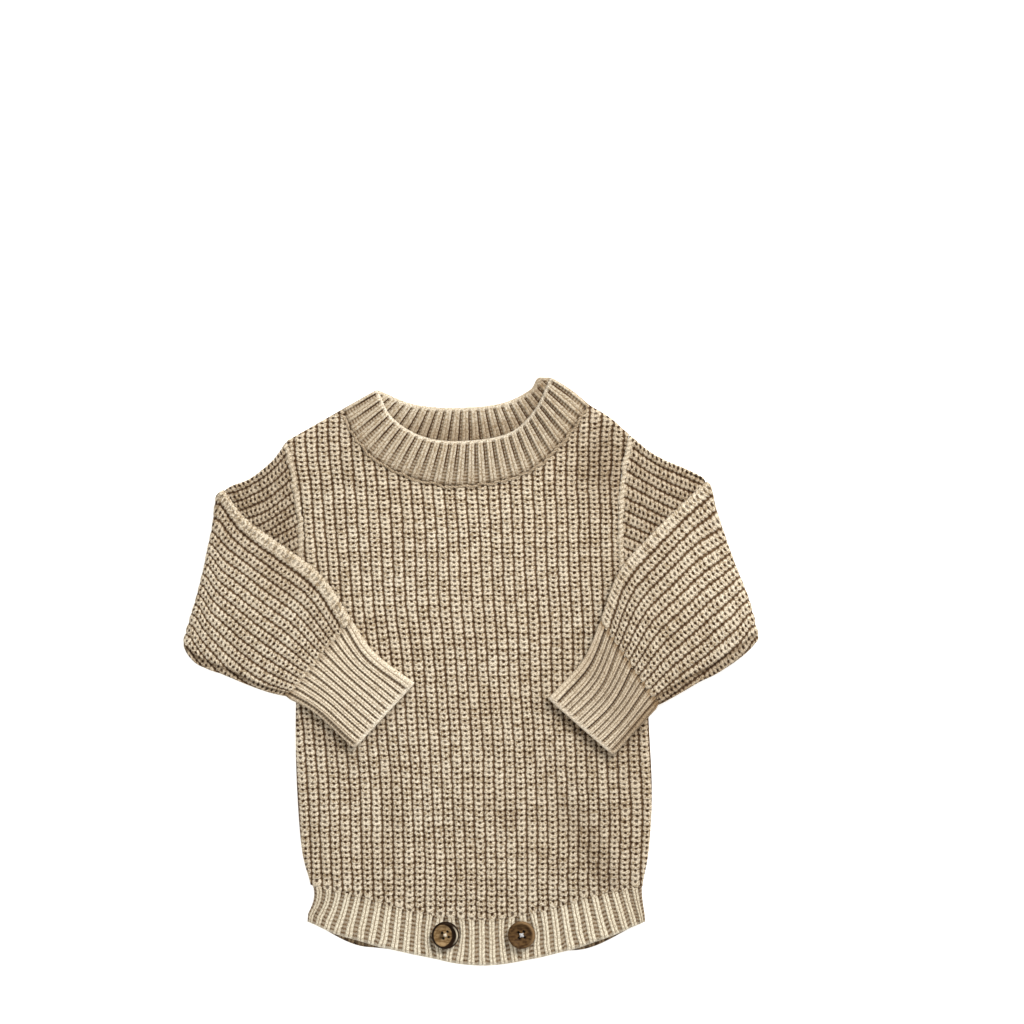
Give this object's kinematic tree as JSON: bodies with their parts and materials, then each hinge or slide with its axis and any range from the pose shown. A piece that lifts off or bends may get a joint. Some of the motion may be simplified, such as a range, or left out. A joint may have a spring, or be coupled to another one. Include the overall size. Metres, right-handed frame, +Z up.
{
  "type": "baby romper",
  "caption": "Long-sleeved baby romper in chunky rib knit, laid flat with both sleeves folded over the front, a ribbed neck band, ribbed cuffs and a curved ribbed hem that buttons at the crotch.",
  "frame": {"origin": "middle of the laid-out garment's outline, on the surface it lies on", "axes": "+X to the viewer's right, looking down on the front; +Y from the hem up to the neck; +Z up, out of the front"},
  "size_m": [0.4102, 0.4231, 0.0149],
  "materials": {
    "body_knit": "chunky cotton rib knit, oatmeal, matt",
    "rib_knit": "finer cotton rib, oatmeal, matt",
    "dark_button": "polished dark horn-like wood",
    "brown_button": "polished brown horn-like wood"
  },
  "bodies": {
    "root": {"back_panel": "body_knit", "front_panel": "body_knit", "sleeve_left": "body_knit", "sleeve_right": "body_knit", "neck_band_back": "rib_knit", "neck_band_front": "rib_knit", "hem_band_back": "rib_knit", "hem_band_front": "rib_knit", "cuff_left": "rib_knit", "cuff_right": "rib_knit", "button_left": "dark_button", "button_right": "brown_button"}
  },
  "joints": []
}
